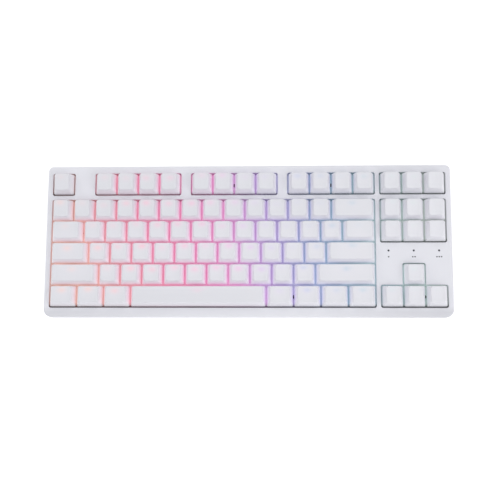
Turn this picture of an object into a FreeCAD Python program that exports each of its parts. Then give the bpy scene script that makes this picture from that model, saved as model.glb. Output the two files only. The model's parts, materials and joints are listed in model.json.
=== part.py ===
import FreeCAD, Part
import math
import os
from FreeCAD import Placement, Rotation, Vector

# A tenkeyless mechanical keyboard, 87 keys, millimetres.
#
# Everything is designed in the deck frame: +X to the right, +Y to the rear, +Z out of the deck,
# with the origin at the centre of the key field on the upper face of the switch plate.
# The deck leans 6 degrees towards the typist, so each finished shape is turned about X and moved
# into the keyboard's own frame: +Z up, origin in the middle of the footprint, on the table.

# ---------------------------------------------------------------- driving dimensions
UNIT = 19.05                    # key pitch, 3/4 inch
FIELD_W = 18.25 * UNIT          # key field, left to right
FIELD_D = 6.25 * UNIT           # key field, front to rear
DECK_TILT = 6.0                 # lean of the deck, degrees
FRONT_HEIGHT = 20.0             # table to the front edge of the bezel

BEZEL_TOP = 7.5                 # bezel face above the switch plate
SEAM = -1.5                     # where the two halves of the case meet
CASE_SIDE = 179.0               # half the case's width
CASE_FRONT = -68.2
CASE_REAR = 66.6
FRONT_CORNER_R = 7.0
REAR_CORNER_R = 4.5
TOP_EDGE_R = 1.8
CASE_WALL = 2.2
SKIN = 2.4                      # thickness of the bezel face
WINDOW_GAP = 0.45               # window edge beyond the pitch line
WINDOW_R = 1.6
WINDOW_BEVEL = 0.4
SKIRT_WALL = 1.2                # wall that hangs round each window
SKIRT_FOOT = 0.4                # its clearance over the switch plate

PLATE_T = 1.5
PLATE_SIDE = 174.6
PLATE_END = 60.2
CUTOUT = 14.0                   # square hole for one switch
BOARD_T = 1.6
BOARD_TOP = -5.0

CAP_BASE = 18.1                 # foot of a one-unit keycap
CAP_FOOT = 6.4                  # foot of the keycap above the plate, key up
CAP_TOP_W = 12.2                # width of its top, without the rounding
CAP_WALL = 1.5
CAP_POST_R = 2.75
CROSS_TOP = 10.2                # top of the cross that carries the keycap

BASE_INSET = 0.8                # the lower case starts this far inside the upper one
BASE_TAPER = 10.0               # lean of its walls, degrees
BASE_FLOOR = 1.0                # its underside above the table
BASE_FLOOR_T = 2.2
PAD_T = 1.4                     # rubber pad, partly sunk in the underside
PAD_SINK = 0.4

FOOT_X = 140.0                  # folding feet, left and right of centre
FOOT_HINGE_Y = 52.0
FOOT_HINGE_Z = 3.7
FOOT_LEN = 22.0
FOOT_W = 24.0
FOOT_T = 3.0

LIGHT_PITCH = 21.9              # spacing of the three lock lights
LIGHT_Y = -10.0

SIN = math.sin(math.radians(DECK_TILT))
COS = math.cos(math.radians(DECK_TILT))
FIELD_LEFT = -FIELD_W / 2
FIELD_FRONT = -FIELD_D / 2
LIFT = FRONT_HEIGHT - CASE_FRONT * SIN - BEZEL_TOP * COS
# The frontmost point is on the rounded front edge, the rearmost one on the rear seam.
FRONTMOST = (CASE_FRONT + TOP_EDGE_R) * COS - (BEZEL_TOP - TOP_EDGE_R) * SIN - TOP_EDGE_R
REARMOST = CASE_REAR * COS - SEAM * SIN
SHIFT_Y = -(FRONTMOST + REARMOST) / 2
DECK_PLACE = Placement(Vector(0, SHIFT_Y, LIFT), Rotation(Vector(1, 0, 0), DECK_TILT))


# ---------------------------------------------------------------- the key field
def column(units):
    """X of a point so many units from the left edge of the key field."""
    return FIELD_LEFT + units * UNIT


ROW_Y = {
    "bottom": FIELD_FRONT + 0.5 * UNIT,
    "lower": FIELD_FRONT + 1.5 * UNIT,
    "home": FIELD_FRONT + 2.5 * UNIT,
    "top": FIELD_FRONT + 3.5 * UNIT,
    "number": FIELD_FRONT + 4.5 * UNIT,
    "function": FIELD_FRONT + 5.75 * UNIT,
}

# For each row: height of the front and the rear edge of the cap's top above its foot.
ROW_PROFILE = {
    "function": (9.7, 11.5),
    "number": (9.7, 11.5),
    "top": (9.0, 9.9),
    "home": (9.2, 8.9),
    "lower": (9.5, 8.6),
    "bottom": (9.7, 8.7),
}

# Node name -> list of (row, left edge in units, width in units).
KEYS = {}


def key_run(node, row, start, widths):
    """Add keys side by side to a node, from the left edge start."""
    for width in widths:
        KEYS.setdefault(node, []).append((row, start, width))
        start += width


key_run("escape_key", "function", 0, [1])
key_run("f1_f4_keys", "function", 2, [1] * 4)
key_run("f5_f8_keys", "function", 6.5, [1] * 4)
key_run("f9_f12_keys", "function", 11, [1] * 4)
key_run("print_group_keys", "function", 15.25, [1] * 3)
key_run("number_keys_left", "number", 0, [1] * 7)
key_run("number_keys_right", "number", 7, [1] * 6)
key_run("backspace_key", "number", 13, [2])
key_run("nav_upper_keys", "number", 15.25, [1] * 3)
key_run("tab_key", "top", 0, [1.5])
key_run("top_letters_left", "top", 1.5, [1] * 6)
key_run("top_letters_right", "top", 7.5, [1] * 6)
key_run("backslash_key", "top", 13.5, [1.5])
key_run("nav_lower_keys", "top", 15.25, [1] * 3)
key_run("caps_lock_key", "home", 0, [1.75])
key_run("home_letters_left", "home", 1.75, [1] * 5)
key_run("home_letters_right", "home", 6.75, [1] * 6)
key_run("enter_key", "home", 12.75, [2.25])
key_run("left_shift_key", "lower", 0, [2.25])
key_run("lower_letters_left", "lower", 2.25, [1] * 5)
key_run("lower_letters_right", "lower", 7.25, [1] * 5)
key_run("right_shift_key", "lower", 12.25, [2.75])
key_run("up_arrow_key", "lower", 16.25, [1])
key_run("left_control_key", "bottom", 0, [1.25])
key_run("left_system_key", "bottom", 1.25, [1.25])
key_run("left_alt_key", "bottom", 2.5, [1.25])
key_run("space_bar", "bottom", 3.75, [6.25])
key_run("right_alt_key", "bottom", 10, [1.25])
key_run("function_shift_key", "bottom", 11.25, [1.25])
key_run("menu_key", "bottom", 12.5, [1.25])
key_run("right_control_key", "bottom", 13.75, [1.25])
key_run("left_arrow_key", "bottom", 15.25, [1])
key_run("down_arrow_key", "bottom", 16.25, [1])
key_run("right_arrow_key", "bottom", 17.25, [1])

# Keys of two units and more ride on a stabiliser: node -> half the distance between its arms.
STABILIZED = {
    "backspace_key": 11.94,
    "enter_key": 11.94,
    "left_shift_key": 11.94,
    "right_shift_key": 11.94,
    "space_bar": 50.0,
}


def key_centre(key):
    row, start, width = key
    return Vector(column(start + width / 2), ROW_Y[row], 0)


SWITCH_SPOTS = [key_centre(key) for run in KEYS.values() for key in run]
STAB_SPOTS = []
for stab_node, stab_half in STABILIZED.items():
    stab_mid = key_centre(KEYS[stab_node][0])
    STAB_SPOTS += [stab_mid + Vector(-stab_half, 0, 0), stab_mid + Vector(stab_half, 0, 0)]

# Screws that hold the switch plate: four in gaps between keys, four under wide keycaps and one
# under the blank part of the upper case.
PLATE_SCREW_SPOTS = [
    Vector(column(8.5), ROW_Y["function"], 0),
    Vector(column(13), ROW_Y["function"], 0),
    Vector(column(11.25), ROW_Y["bottom"], 0),
    Vector(column(17.25), ROW_Y["bottom"], 0),
    Vector(column(15.6), -18.0, 0),
    Vector(column(0.75) + 11.0, ROW_Y["top"], 0),
    Vector(column(1.125) + 18.0, ROW_Y["lower"], 0),
    Vector(column(14.25) - 11.5, ROW_Y["top"], 0),
    Vector(column(6.875) - 25.0, ROW_Y["bottom"], 0),
]

# Screws that hold the case together, from below: three under the bars between the function
# keys, one beside the lock lights and three along the front edge.
FRONT_SCREW_Y = -62.7
CASE_SCREW_SPOTS = [
    Vector(column(1.5), ROW_Y["function"], 0),
    Vector(column(6.25), ROW_Y["function"], 0),
    Vector(column(10.75), ROW_Y["function"], 0),
    Vector(column(16.75) + LIGHT_PITCH / 2, LIGHT_Y - 2, 0),
    Vector(-150, FRONT_SCREW_Y, 0),
    Vector(25, FRONT_SCREW_Y, 0),
    Vector(150, FRONT_SCREW_Y, 0),
]


# ---------------------------------------------------------------- shape helpers
def block(x0, x1, y0, y1, z0, z1):
    return Part.makeBox(x1 - x0, y1 - y0, z1 - z0, Vector(x0, y0, z0))


def square(side, z0, z1, at=Vector(0, 0, 0)):
    half = side / 2
    return block(at.x - half, at.x + half, at.y - half, at.y + half, z0, z1)


def rod(radius, z0, z1, at=Vector(0, 0, 0)):
    return Part.makeCylinder(radius, z1 - z0, Vector(at.x, at.y, z0))


def rounded_wire(x0, x1, y0, y1, z, front_r, rear_r):
    """Closed outline of a rectangle with rounded corners, at height z."""
    edges = []
    corners = [
        (x1 - front_r, y0 + front_r, front_r, -90),
        (x1 - rear_r, y1 - rear_r, rear_r, 0),
        (x0 + rear_r, y1 - rear_r, rear_r, 90),
        (x0 + front_r, y0 + front_r, front_r, 180),
    ]
    arcs = []
    for cx, cy, radius, start in corners:
        ends = []
        for degrees in (start, start + 45, start + 90):
            turn = math.radians(degrees)
            ends.append(Vector(cx + radius * math.cos(turn), cy + radius * math.sin(turn), z))
        arcs.append(ends)
    for i, (first, middle, last) in enumerate(arcs):
        edges.append(Part.Arc(first, middle, last).toShape())
        edges.append(Part.LineSegment(last, arcs[(i + 1) % 4][0]).toShape())
    return Part.Wire(edges)


def rounded_block(x0, x1, y0, y1, z0, z1, front_r, rear_r=None):
    rear_r = front_r if rear_r is None else rear_r
    face = Part.Face(rounded_wire(x0, x1, y0, y1, z0, front_r, rear_r))
    return face.extrude(Vector(0, 0, z1 - z0))


def corners_of(x0, x1, y0, y1, front_z, rear_z=None):
    """Four corners of a rectangle whose rear edge may lie at another height."""
    rear_z = front_z if rear_z is None else rear_z
    return [
        Vector(x0, y0, front_z), Vector(x1, y0, front_z), Vector(x1, y1, rear_z), Vector(x0, y1, rear_z)
    ]


def flat_sided(low, high):
    """Solid with six flat faces between four low and four high corners."""
    rims = [low[::-1], high]
    for i in range(4):
        j = (i + 1) % 4
        rims.append([low[i], low[j], high[j], high[i]])
    shell = Part.makeShell([Part.Face(Part.makePolygon(rim + rim[:1])) for rim in rims])
    shell.sewShape()
    solid = Part.makeSolid(shell)
    if solid.Volume < 0:
        solid.reverse()
    return solid


def rising_edges(solid, test=lambda edge: True):
    """Edges that climb from the lower to the upper face."""
    return [e for e in solid.Edges if e.BoundBox.ZLength > 1 and test(e)]


def sheet_with_holes(outline, holes, thickness):
    """Flat sheet of one thickness, with its holes left open."""
    face = Part.makeFace([outline] + holes, "Part::FaceMakerBullseye")
    return face.extrude(Vector(0, 0, thickness))


def box_hole(x0, x1, y0, y1, z):
    points = [Vector(x0, y0, z), Vector(x1, y0, z), Vector(x1, y1, z), Vector(x0, y1, z)]
    return Part.makePolygon(points + points[:1])


def square_hole(side, at, z):
    half = side / 2
    return box_hole(at.x - half, at.x + half, at.y - half, at.y + half, z)


def round_hole(radius, at, z):
    return Part.Wire([Part.makeCircle(radius, Vector(at.x, at.y, z))])


def at_each(shapes, spots):
    """Copies of the shapes at every spot."""
    copies = []
    for spot in spots:
        for shape in shapes:
            copies.append(shape.translated(spot))
    return copies


def from_table(shape):
    """A shape given in the keyboard's own frame, brought into the deck frame."""
    moved = shape.copy()
    moved.Placement = DECK_PLACE.inverse().multiply(moved.Placement)
    return moved


def save(node, shapes):
    """Turn deck-frame shapes into the keyboard's own frame and write the node."""
    solids = []
    for shape in shapes:
        moved = shape.copy()
        moved.Placement = DECK_PLACE.multiply(moved.Placement)
        solids.extend(moved.Solids)
    bad = [solid for solid in solids if not solid.isValid()]
    Part.Compound(solids).exportStep("parts/" + node + ".step")
    box = Part.Compound(solids).BoundBox
    print(
        f"{node:24s} {len(solids):4d} solids  {sum(s.Volume for s in solids) / 1000:9.3f} cm3"
        f"  z {box.ZMin:7.2f} {box.ZMax:7.2f}" + ("  INVALID" if bad else "")
    )


# ---------------------------------------------------------------- upper case
WINDOWS = [
    (column(0), column(1), ROW_Y["function"]),
    (column(2), column(6), ROW_Y["function"]),
    (column(6.5), column(10.5), ROW_Y["function"]),
    (column(11), column(15), ROW_Y["function"]),
    (column(15.25), column(18.25), ROW_Y["function"]),
]
WINDOWS = [(x0, x1, y - UNIT / 2, y + UNIT / 2) for x0, x1, y in WINDOWS]
WINDOWS += [
    (column(0), column(15), FIELD_FRONT, FIELD_FRONT + 5 * UNIT),
    (column(15.25), column(18.25), FIELD_FRONT + 3 * UNIT, FIELD_FRONT + 5 * UNIT),
    (column(15.25), column(18.25), FIELD_FRONT, FIELD_FRONT + UNIT),
    (column(16.25), column(17.25), FIELD_FRONT, FIELD_FRONT + 2 * UNIT),
]


def window_block(window, out, z0, z1):
    """Block over one window, its edge moved outwards by out."""
    x0, x1, y0, y1 = window
    radius = WINDOW_R + out
    edge = WINDOW_GAP + out
    return rounded_block(x0 - edge, x1 + edge, y0 - edge, y1 + edge, z0, z1, radius)


def window_bevel(window):
    """Sloping cut round the upper edge of one window."""
    x0, x1, y0, y1 = window
    wires = []
    for rise in (-0.1, WINDOW_BEVEL + 0.1):
        edge = WINDOW_GAP + rise
        height = BEZEL_TOP - WINDOW_BEVEL + rise
        radius = WINDOW_R + rise
        wires.append(rounded_wire(x0 - edge, x1 + edge, y0 - edge, y1 + edge, height, radius, radius))
    return Part.makeLoft(wires, True, True)


def case_outline(inset, z):
    """Outline of the case, moved inwards by inset."""
    front_r = max(FRONT_CORNER_R - inset, 1.0)
    rear_r = max(REAR_CORNER_R - inset, 1.0)
    return rounded_wire(
        -CASE_SIDE + inset, CASE_SIDE - inset, CASE_FRONT + inset, CASE_REAR - inset, z, front_r, rear_r
    )


CASE_BOSS_R = 2.0
CASE_BOSS_FOOT = -1.6
CASE_PILOT_R = 0.9
LENS_HOLE_R = 0.9
LIGHT_SPOTS = [
    Vector(column(16.75) + i * LIGHT_PITCH, LIGHT_Y, 0) for i in (-1, 0, 1)
]


def make_top_case():
    outside = Part.Face(case_outline(0, SEAM)).extrude(Vector(0, 0, BEZEL_TOP - SEAM))
    top_edges = [e for e in outside.Edges if e.BoundBox.ZMin > BEZEL_TOP - 0.01]
    outside = outside.makeFillet(TOP_EDGE_R, top_edges)
    inside = Part.Face(case_outline(CASE_WALL, SEAM - 1)).extrude(
        Vector(0, 0, BEZEL_TOP - SKIN - SEAM + 1)
    )
    case = outside.cut(inside)
    roof = BEZEL_TOP - SKIN / 2
    skirts = [window_block(w, SKIRT_WALL, SKIRT_FOOT, roof) for w in WINDOWS]
    bosses = [rod(CASE_BOSS_R, CASE_BOSS_FOOT, roof, at) for at in CASE_SCREW_SPOTS]
    guides = [rod(LENS_HOLE_R + 1.2, BEZEL_TOP - SKIN - 1.6, roof, at) for at in LIGHT_SPOTS]
    case = case.fuse(skirts + bosses + guides)
    cuts = [window_block(w, 0, SEAM - 1, BEZEL_TOP + 1) for w in WINDOWS]
    cuts += [window_bevel(w) for w in WINDOWS]
    pilot_top = BEZEL_TOP - SKIN - 0.3
    cuts += [rod(CASE_PILOT_R, CASE_BOSS_FOOT - 1, pilot_top, at) for at in CASE_SCREW_SPOTS]
    cuts += [rod(LENS_HOLE_R, SEAM, BEZEL_TOP + 1, at) for at in LIGHT_SPOTS]
    return case.cut(cuts).removeSplitter()


# ---------------------------------------------------------------- lower case
BASE_DEPTH = 30.0               # more than the deepest wall, before the flat cut
TONGUE_T = 0.8
TONGUE_RISE = 2.0
BASE_BOSS_R = 3.8
FRONT_BOSS_R = 2.8
BASE_BOSS_TOP = -1.8
SCREW_HEAD_DROP = 5.0           # head of a case screw below the top of its boss
COUNTERBORE_R = 2.6
FRONT_COUNTERBORE_R = 2.15
POST_R = 2.3
USB_X = -60.0
USB_Z = BOARD_TOP - BOARD_T - 1.8
USB_WINDOW = (12.6, 7.0)        # recess round the socket in the rear wall
POCKET_WALL = 2.4
POCKET_CEILING = 6.6
POCKET_REACH = 25.6             # pocket in front of the hinge
POCKET_BEHIND = 3.4
TRUNNION_R = 1.4
TRUNNION_HOLE_R = 1.5
TRUNNION_LEN = 2.0
NOTCH_W = 15.0                  # finger notch in front of each folded foot
NOTCH_D = 6.5
PAD_SPOTS = [(-150, -50), (150, -50), (-100, 54), (100, 54), (0, -52), (0, 54)]
PAD_SIZE = (26.0, 8.0)


def base_block(inset, floor):
    """Tapered tray block, cut flat at a height above the table."""
    rims = []
    for depth in (BASE_DEPTH, 0.0):
        inward = inset + depth * math.tan(math.radians(BASE_TAPER))
        side = CASE_SIDE - inward
        rims.append(corners_of(-side, side, CASE_FRONT + inward, CASE_REAR - inward, SEAM - depth))
    tray = flat_sided(rims[0], rims[1])
    at_front = rising_edges(tray, lambda edge: edge.BoundBox.YMax < 0)
    tray = tray.makeFillet(FRONT_CORNER_R - inset, at_front)
    at_rear = rising_edges(tray, lambda edge: edge.BoundBox.YMin > 0)
    tray = tray.makeFillet(REAR_CORNER_R - inset, at_rear)
    return tray.common(from_table(block(-300, 300, -200, 200, floor, 100)))


def boss_radius(at):
    return FRONT_BOSS_R if at.y == FRONT_SCREW_Y else BASE_BOSS_R


def bore_radius(at):
    return FRONT_COUNTERBORE_R if at.y == FRONT_SCREW_Y else COUNTERBORE_R


def foot_pocket(side, grow, ceiling):
    """Space for one folded foot, in the keyboard's own frame."""
    half = FOOT_W / 2 + 0.6
    return block(
        side * FOOT_X - half - grow,
        side * FOOT_X + half + grow,
        FOOT_HINGE_Y - POCKET_REACH - grow,
        FOOT_HINGE_Y + POCKET_BEHIND + grow,
        -1,
        ceiling,
    )


def finger_notch(side, grow, ceiling):
    half = NOTCH_W / 2
    front = FOOT_HINGE_Y - POCKET_REACH
    return block(
        side * FOOT_X - half - grow,
        side * FOOT_X + half + grow,
        front - NOTCH_D - grow,
        front + 1,
        -1,
        ceiling,
    )


def make_bottom_case():
    outer = base_block(BASE_INSET, BASE_FLOOR)
    inner = base_block(BASE_INSET + CASE_WALL, BASE_FLOOR + BASE_FLOOR_T)
    inner = inner.fuse(Part.Face(case_outline(BASE_INSET + CASE_WALL, SEAM)).extrude(Vector(0, 0, 1)))
    case = outer.cut(inner)

    lip_out = CASE_WALL + 0.2
    lip = Part.Face(case_outline(lip_out, SEAM - 0.5)).extrude(Vector(0, 0, TONGUE_RISE + 0.5))
    lip_hole = Part.Face(case_outline(lip_out + TONGUE_T, SEAM - 1)).extrude(Vector(0, 0, TONGUE_RISE + 2))
    columns = [rod(boss_radius(at), -40, BASE_BOSS_TOP, at) for at in CASE_SCREW_SPOTS]
    columns += [rod(POST_R, -40, -PLATE_T, at) for at in PLATE_SCREW_SPOTS]
    for side in (-1, 1):
        pocket = foot_pocket(side, POCKET_WALL, POCKET_CEILING + 1.6)
        notch = finger_notch(side, 1.6, POCKET_CEILING + 1.6)
        columns.append(from_table(pocket.fuse(notch)))
    columns = [shape.common(outer) for shape in columns]
    case = case.fuse(columns + [lip.cut(lip_hole)])

    cuts = []
    for at in CASE_SCREW_SPOTS:
        cuts.append(rod(1.4, -40, 0, at))
        cuts.append(rod(bore_radius(at), -40, BASE_BOSS_TOP - SCREW_HEAD_DROP, at))
    cuts += [rod(0.8, -PLATE_T - 6, 0, at) for at in PLATE_SCREW_SPOTS]
    for side in (-1, 1):
        cuts.append(from_table(foot_pocket(side, 0, POCKET_CEILING)))
        cuts.append(from_table(finger_notch(side, 0, POCKET_CEILING)))
        half = FOOT_W / 2 + TRUNNION_LEN + 0.3
        axle = Part.makeCylinder(
            TRUNNION_HOLE_R,
            2 * half,
            Vector(side * FOOT_X - half, FOOT_HINGE_Y, FOOT_HINGE_Z),
            Vector(1, 0, 0),
        )
        cuts.append(from_table(axle))
    for x, y in PAD_SPOTS:
        w, d = PAD_SIZE
        cuts.append(
            from_table(
                rounded_block(
                    x - w / 2 - 0.3, x + w / 2 + 0.3, y - d / 2 - 0.3, y + d / 2 + 0.3,
                    0, BASE_FLOOR + PAD_SINK, 3,
                )
            )
        )
    w, h = USB_WINDOW
    window = rounded_block(USB_X - w / 2, USB_X + w / 2, USB_Z - h / 2, USB_Z + h / 2, 0, 10, 2.4)
    window.rotate(Vector(0, 0, 0), Vector(1, 0, 0), 90)
    window.translate(Vector(0, CASE_REAR + 1, 0))
    cuts.append(window)
    return case.cut(cuts)


def make_rubber_pads():
    w, d = PAD_SIZE
    pads = []
    for x, y in PAD_SPOTS:
        pad = rounded_block(x - w / 2, x + w / 2, y - d / 2, y + d / 2, 0, PAD_T, 2.7)
        lower = [e for e in pad.Edges if e.BoundBox.ZMax < 0.01]
        pads.append(from_table(pad.makeChamfer(0.3, lower)))
    return pads


# ---------------------------------------------------------------- folding feet
def make_foot(side):
    x = side * FOOT_X
    half = FOOT_W / 2
    tip = FOOT_HINGE_Y - FOOT_LEN
    plate = block(x - half, x + half, tip, FOOT_HINGE_Y, BASE_FLOOR, BASE_FLOOR + FOOT_T)
    ribs = [
        block(x + i * 8 - 1, x + i * 8 + 1, tip + 3, FOOT_HINGE_Y, BASE_FLOOR + 1, BASE_FLOOR + 4.2)
        for i in (-1, 0, 1)
    ]
    knuckle = Part.makeCylinder(
        2.4, FOOT_W, Vector(x - half, FOOT_HINGE_Y, FOOT_HINGE_Z), Vector(1, 0, 0)
    )
    trunnions = Part.makeCylinder(
        TRUNNION_R,
        FOOT_W + 2 * TRUNNION_LEN,
        Vector(x - half - TRUNNION_LEN, FOOT_HINGE_Y, FOOT_HINGE_Z),
        Vector(1, 0, 0),
    )
    return from_table(plate.fuse(ribs + [knuckle, trunnions]).removeSplitter())


def make_foot_grip(side):
    x = side * FOOT_X
    half = FOOT_W / 2 - 1.5
    tip = FOOT_HINGE_Y - FOOT_LEN
    grip = block(x - half, x + half, tip - 2.2, tip, BASE_FLOOR + 0.2, BASE_FLOOR + FOOT_T - 0.2)
    front = [e for e in grip.Edges if e.BoundBox.YMax < tip - 2.1]
    return from_table(grip.makeFillet(0.7, front))


# ---------------------------------------------------------------- plate, board and foam
STAB_CUT = (3.45, -6.7, 5.65)   # half width, front and rear of the plate's hole


def make_switch_plate():
    z = -PLATE_T
    outline = rounded_wire(-PLATE_SIDE, PLATE_SIDE, -PLATE_END, PLATE_END, z, 2, 2)
    holes = [square_hole(CUTOUT, at, z) for at in SWITCH_SPOTS]
    half, front, rear = STAB_CUT
    holes += [box_hole(at.x - half, at.x + half, at.y + front, at.y + rear, z) for at in STAB_SPOTS]
    holes += [round_hole(1.15, at, z) for at in PLATE_SCREW_SPOTS]
    holes += [round_hole(CASE_BOSS_R + 0.6, at, z) for at in CASE_SCREW_SPOTS if at.y > FRONT_SCREW_Y]
    holes += [round_hole(1.3, at, z) for at in LIGHT_SPOTS]
    return sheet_with_holes(outline, holes, PLATE_T)


PIN_SPOTS = [Vector(3.81, -2.54, 0), Vector(-2.54, -5.08, 0)]


def make_circuit_board():
    z = BOARD_TOP - BOARD_T
    outline = rounded_wire(-PLATE_SIDE + 1, PLATE_SIDE - 1, -59.9, 59.9, z, 2, 2)
    holes = [round_hole(2.3, at, z) for at in SWITCH_SPOTS]
    holes += [round_hole(0.8, at + pin, z) for at in SWITCH_SPOTS for pin in PIN_SPOTS]
    holes += [round_hole(POST_R + 0.5, at, z) for at in PLATE_SCREW_SPOTS]
    holes += [round_hole(BASE_BOSS_R + 0.6, at, z) for at in CASE_SCREW_SPOTS if at.y > FRONT_SCREW_Y]
    board = sheet_with_holes(outline, holes, BOARD_T)
    # A tab carries the cable socket to the rear wall; the front edge is notched for the bosses.
    tab = block(USB_X - 9, USB_X + 9, 59, 61.4, z, BOARD_TOP)
    notches = [
        rod(FRONT_BOSS_R + 0.5, z - 1, BOARD_TOP + 1, at)
        for at in CASE_SCREW_SPOTS
        if at.y == FRONT_SCREW_Y
    ]
    return board.fuse(tab).cut(notches).removeSplitter()


def make_board_chips():
    """Controller, memory, clock crystal and the sockets' protection parts, under the board."""
    under = BOARD_TOP - BOARD_T
    spots = [
        (column(16.75), -12, 9, 9, 1.2),
        (column(16.75) - 14, -12, 5, 6, 1.2),
        (column(16.75) + 4, -2.6, 3.2, 2.5, 0.9),
        (USB_X - 9.5, 58.2, 3, 1.6, 1.0),
        (USB_X + 9.5, 58.2, 3, 1.6, 1.0),
    ]
    return [
        block(x - w / 2, x + w / 2, y - d / 2, y + d / 2, under - t, under) for x, y, w, d, t in spots
    ]


def make_sound_foam():
    """Sheet of foam on the floor of the lower case, behind its shallow front part."""
    floor = BASE_FLOOR + BASE_FLOOR_T
    front = -22.0
    sheet = from_table(block(-166, 166, front, 22, floor, floor + 2.5))
    holes = [rod(BASE_BOSS_R + 0.8, -40, 0, at) for at in CASE_SCREW_SPOTS if at.y > FRONT_SCREW_Y]
    holes += [rod(POST_R + 0.8, -40, 0, at) for at in PLATE_SCREW_SPOTS]
    for side in (-1, 1):
        holes.append(from_table(finger_notch(side, 2.4, 20)))
    return sheet.cut(holes)


# ---------------------------------------------------------------- screws
def make_case_screws():
    screws = []
    for at in CASE_SCREW_SPOTS:
        head_top = BASE_BOSS_TOP - SCREW_HEAD_DROP
        head_r = 1.9 if at.y == FRONT_SCREW_Y else 2.2
        head = rod(head_r, head_top - 1.6, head_top, at)
        slot = block(at.x - 1.3, at.x + 1.3, at.y - 0.25, at.y + 0.25, head_top - 2, head_top - 0.9)
        cross = block(at.x - 0.25, at.x + 0.25, at.y - 1.3, at.y + 1.3, head_top - 2, head_top - 0.9)
        shank = rod(1.0, head_top - 0.2, BEZEL_TOP - SKIN - 1.2, at)
        screws.append(head.fuse(shank).cut([slot, cross]))
    return screws


def make_plate_screws():
    screws = []
    for at in PLATE_SCREW_SPOTS:
        head = rod(1.5, 0, 1.1, at)
        rim = [e for e in head.Edges if e.BoundBox.ZMin > 1.05]
        head = head.makeFillet(0.4, rim)
        slot = block(at.x - 0.9, at.x + 0.9, at.y - 0.2, at.y + 0.2, 0.6, 2)
        cross = block(at.x - 0.2, at.x + 0.2, at.y - 0.9, at.y + 0.9, 0.6, 2)
        shank = rod(0.9, -PLATE_T - 5, 0.2, at)
        screws.append(head.fuse(shank).cut([slot, cross]))
    return screws


# ---------------------------------------------------------------- one key switch, at the origin
HOUSING = 13.8
FLANGE = 15.6
FLANGE_T = 1.0
HOUSING_FLOOR = -3.8
CAVITY = 11.6
TUBE_R = 1.5
TUBE_BORE_R = 1.2
POST_END = -8.0
SPRING_R = 2.05
SPRING_WIRE = 0.28
SPRING_FOOT = -3.4
SPRING_HEAD = 5.0
SPRING_TURNS = 6
LED_Y = 5.1


def make_lower_housing():
    body = square(HOUSING, BOARD_TOP, 0).fuse(square(FLANGE, 0, FLANGE_T))
    body = body.fuse(rod(2.0, POST_END, BOARD_TOP + 0.5))
    body = body.cut(square(CAVITY, HOUSING_FLOOR, FLANGE_T + 1))
    body = body.fuse(rod(TUBE_R, HOUSING_FLOOR - 0.5, -0.8))
    cuts = [rod(TUBE_BORE_R, POST_END + 0.3, 0)]
    cuts.append(block(-2.2, 2.2, LED_Y - 1.8, CAVITY / 2, BOARD_TOP - 1, HOUSING_FLOOR + 0.5))
    for pin in PIN_SPOTS:
        cuts.append(block(pin.x - 0.7, pin.x + 0.7, pin.y - 0.35, pin.y + 0.35, BOARD_TOP - 1, 0))
    return body.cut(cuts).removeSplitter()


def make_upper_housing():
    """Clear cover with sloping sides and an opening for the stem."""
    foot = FLANGE_T
    roof = 6.6

    def cover(foot_side, roof_w, roof_d, z0, z1):
        half = foot_side / 2
        low = corners_of(-half, half, -half, half, z0)
        return flat_sided(low, corners_of(-roof_w / 2, roof_w / 2, -roof_d / 2, roof_d / 2, z1))

    shell = cover(14.6, 10.6, 11.0, foot, roof)
    inside = cover(12.8, 8.8, 9.2, foot - 0.01, roof - 1.0)
    opening = block(-3.85, 3.85, -3.3, 3.3, foot, roof + 1)
    return shell.cut([inside, opening])


def make_contacts():
    """The fixed contact and the moving leaf, each with its solder pin."""
    leaves = []
    # The first blade stands aside of its pin, clear of the stem's shoulder.
    for pin, aside, lean in zip(PIN_SPOTS, (0.65, 0), (1, -1)):
        front, rear = pin.y - 0.15, pin.y + 0.15
        strip = block(pin.x - 0.45, pin.x + 0.45, front, rear, -8.2, HOUSING_FLOOR + 0.4)
        x = pin.x + aside
        blade = block(x - 0.7, x + 0.7, front, rear, HOUSING_FLOOR + 0.3, 0.6)
        reach = pin.y + 0.4 * lean
        nib = block(x - 0.3, x + 0.3, min(pin.y, reach), max(pin.y, reach), -0.4, 0.2)
        leaves.append(strip.fuse([blade, nib]).removeSplitter())
    return leaves


def make_spring():
    """Coil spring between the floor of the housing and the stem, of flat half turns."""
    half_turns = 2 * SPRING_TURNS
    rise = (SPRING_HEAD - SPRING_FOOT) / half_turns
    lean = math.degrees(math.atan2(rise, 2 * SPRING_R))
    reach = math.hypot(SPRING_R, rise / 2)
    half = SPRING_WIRE / 2
    corners = [(-half, -half), (half, -half), (half, half), (-half, half), (-half, -half)]
    section = Part.Face(Part.makePolygon([Vector(reach + x, 0, z) for x, z in corners]))
    bend = section.revolve(Vector(0, 0, 0), Vector(0, 0, 1), 180)
    coil = []
    for turn in range(half_turns):
        piece = bend.copy()
        piece.rotate(Vector(0, 0, 0), Vector(0, 1, 0), lean)
        piece.rotate(Vector(0, 0, 0), Vector(0, 0, 1), 180 * turn)
        piece.translate(Vector(0, 0, SPRING_FOOT + rise * (turn + 0.5)))
        coil.append(piece)
    return coil[0].fuse(coil[1:]).removeSplitter()


def make_led():
    base = block(-1.6, 1.6, LED_Y - 1.4, LED_Y + 0.5, BOARD_TOP, BOARD_TOP + 0.6)
    dome = block(-1.2, 1.2, LED_Y - 1.0, LED_Y + 0.3, BOARD_TOP + 0.6, BOARD_TOP + 0.85)
    return base.fuse(dome)


def cross_prism(z0, z1, grow=0.0):
    """The cross that joins a stem to its keycap."""
    long = 2.0 + grow
    thin = 0.6 + grow
    return block(-long, long, -thin, thin, z0, z1).fuse(block(-thin, thin, -long, long, z0, z1))


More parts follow.
